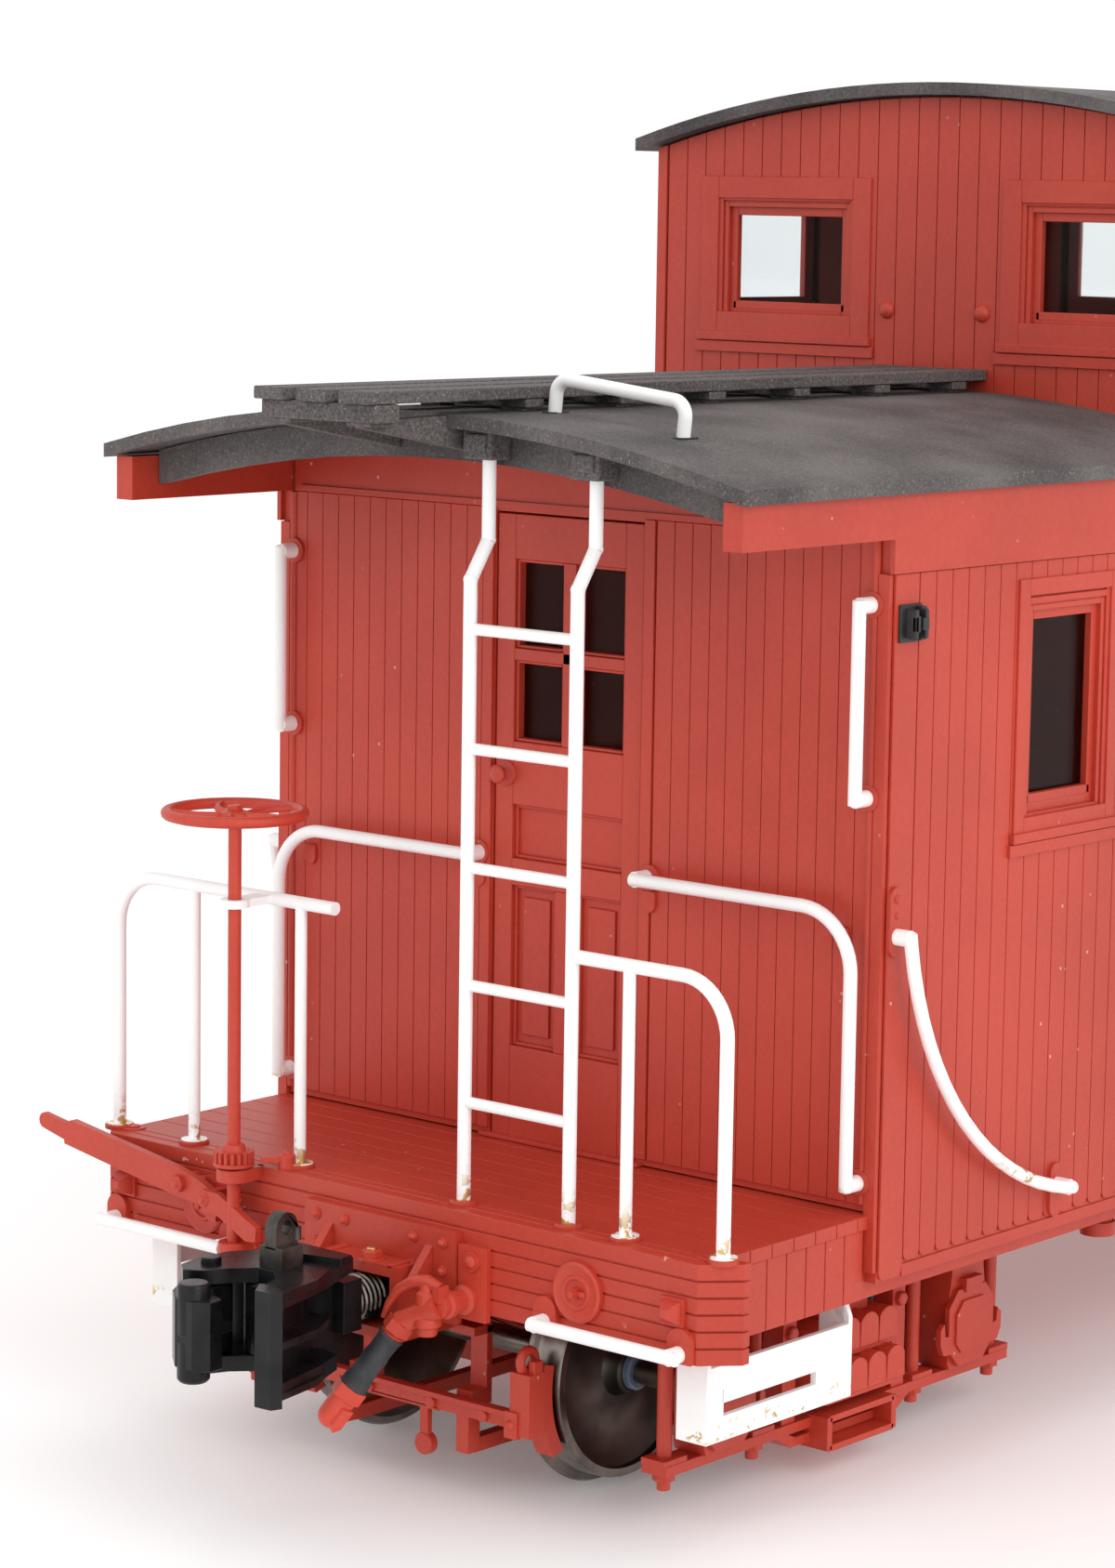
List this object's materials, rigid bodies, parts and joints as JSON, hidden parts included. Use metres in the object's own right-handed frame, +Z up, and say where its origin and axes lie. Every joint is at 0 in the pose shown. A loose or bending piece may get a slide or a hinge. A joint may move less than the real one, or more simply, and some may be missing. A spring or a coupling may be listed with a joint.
{
  "type": "model caboose",
  "caption": "Scale model of a narrow-gauge caboose: cupola, end platforms, railings, ladders, opening doors, turning brake wheels, swivelling trucks and rolling wheels.",
  "frame": {"origin": "centre of the car, on the plane that the wheel flanges stand on", "axes": "+X along the car towards the front platform, +Y across it, +Z up"},
  "size_m": [0.5254, 0.142, 0.208],
  "materials": {
    "body_red": "satin",
    "roof_charcoal": "matte, finely speckled",
    "rail_white": "satin enamel, brass showing at the feet",
    "coupler_black": "gloss",
    "fitting_black": "satin",
    "hose_rubber": "matte",
    "wheel_metal": "blackened, bright on the tread",
    "window_clear": "clear"
  },
  "bodies": {
    "body": {"underframe": "body_red", "platform_decks": "body_red", "end_beams": "body_red", "draft_boxes": "body_red", "side_walls": "body_red", "end_walls": "body_red", "main_roof": "roof_charcoal", "end_carlines": "roof_charcoal", "eave_beams": "body_red", "roof_walks": "roof_charcoal", "cupola_ends": "body_red", "cupola_sides": "body_red", "cupola_roof": "roof_charcoal", "window_frames": "body_red", "cupola_window_frames": "body_red", "window_glass": "window_clear", "cupola_glass": "window_clear", "smokejack": "fitting_black", "ladders": "rail_white", "platform_railings": "rail_white", "end_handrails": "rail_white", "corner_grabs": "rail_white", "side_handrails": "rail_white", "roof_grabs": "rail_white", "beam_grabs": "rail_white", "side_steps": "rail_white", "marker_brackets": "fitting_black", "cut_levers": "body_red", "angle_cocks": "body_red", "air_hoses": "hose_rubber", "hose_heads": "body_red", "brake_cylinder": "body_red", "drain_castings": "body_red"},
    "front_door": {"front_door": "body_red", "front_door_glass": "window_clear"},
    "rear_door": {"rear_door": "body_red", "rear_door_glass": "window_clear"},
    "front_truck": {"front_truck_frame": "body_red", "front_truck_springs": "body_red", "front_truck_brakes": "body_red"},
    "rear_truck": {"rear_truck_frame": "body_red", "rear_truck_springs": "body_red", "rear_truck_brakes": "body_red"},
    "front_axle_a": {"wheelset_1": "wheel_metal"},
    "front_axle_b": {"wheelset_2": "wheel_metal"},
    "rear_axle_a": {"wheelset_4": "wheel_metal"},
    "rear_axle_b": {"wheelset_3": "wheel_metal"},
    "front_coupler": {"front_coupler": "coupler_black"},
    "rear_coupler": {"rear_coupler": "coupler_black"},
    "front_knuckle": {"front_knuckle": "coupler_black"},
    "rear_knuckle": {"rear_knuckle": "coupler_black"},
    "front_brake_wheel": {"front_brake_wheel": "body_red"},
    "rear_brake_wheel": {"rear_brake_wheel": "body_red"}
  },
  "joints": [
    {"name": "front_door_hinge", "type": "hinge", "parent": "body", "child": "front_door", "pos_m": [0.184, 0.0147, 0.092], "axis": [0, 0, 1], "range_deg": [-88, 0]},
    {"name": "front_truck_swivel", "type": "hinge", "parent": "body", "child": "front_truck", "pos_m": [0.17, 0, 0.02], "axis": [0, 0, 1], "range_deg": [-7, 7]},
    {"name": "front_coupler_swing", "type": "hinge", "parent": "body", "child": "front_coupler", "pos_m": [0.213, 0, 0.03], "axis": [0, 0, 1], "range_deg": [-8, 8]},
    {"name": "front_knuckle_hinge", "type": "hinge", "parent": "front_coupler", "child": "front_knuckle", "pos_m": [0.252, -0.0086, 0.03], "axis": [0, 0, 1], "range_deg": [-35, 0]},
    {"name": "front_brake_spin", "type": "hinge", "parent": "body", "child": "front_brake_wheel", "pos_m": [0.2284, -0.028, 0.08], "axis": [0, 0, 1], "continuous": true},
    {"name": "front_axle_a_spin", "type": "hinge", "parent": "front_truck", "child": "front_axle_a", "pos_m": [0.2, 0, 0.01775], "axis": [0, 1, 0], "continuous": true},
    {"name": "front_axle_b_spin", "type": "hinge", "parent": "front_truck", "child": "front_axle_b", "pos_m": [0.14, 0, 0.01775], "axis": [0, 1, 0], "continuous": true},
    {"name": "rear_door_hinge", "type": "hinge", "parent": "body", "child": "rear_door", "pos_m": [-0.184, -0.0147, 0.092], "axis": [0, 0, 1], "range_deg": [-88, 0]},
    {"name": "rear_truck_swivel", "type": "hinge", "parent": "body", "child": "rear_truck", "pos_m": [-0.17, 0, 0.02], "axis": [0, 0, 1], "range_deg": [-7, 7]},
    {"name": "rear_coupler_swing", "type": "hinge", "parent": "body", "child": "rear_coupler", "pos_m": [-0.213, 0, 0.03], "axis": [0, 0, 1], "range_deg": [-8, 8]},
    {"name": "rear_knuckle_hinge", "type": "hinge", "parent": "rear_coupler", "child": "rear_knuckle", "pos_m": [-0.252, 0.0086, 0.03], "axis": [0, 0, 1], "range_deg": [-35, 0]},
    {"name": "rear_brake_spin", "type": "hinge", "parent": "body", "child": "rear_brake_wheel", "pos_m": [-0.2284, 0.028, 0.08], "axis": [0, 0, 1], "continuous": true},
    {"name": "rear_axle_a_spin", "type": "hinge", "parent": "rear_truck", "child": "rear_axle_a", "pos_m": [-0.2, 0, 0.01775], "axis": [0, 1, 0], "continuous": true},
    {"name": "rear_axle_b_spin", "type": "hinge", "parent": "rear_truck", "child": "rear_axle_b", "pos_m": [-0.14, 0, 0.01775], "axis": [0, 1, 0], "continuous": true}
  ]
}
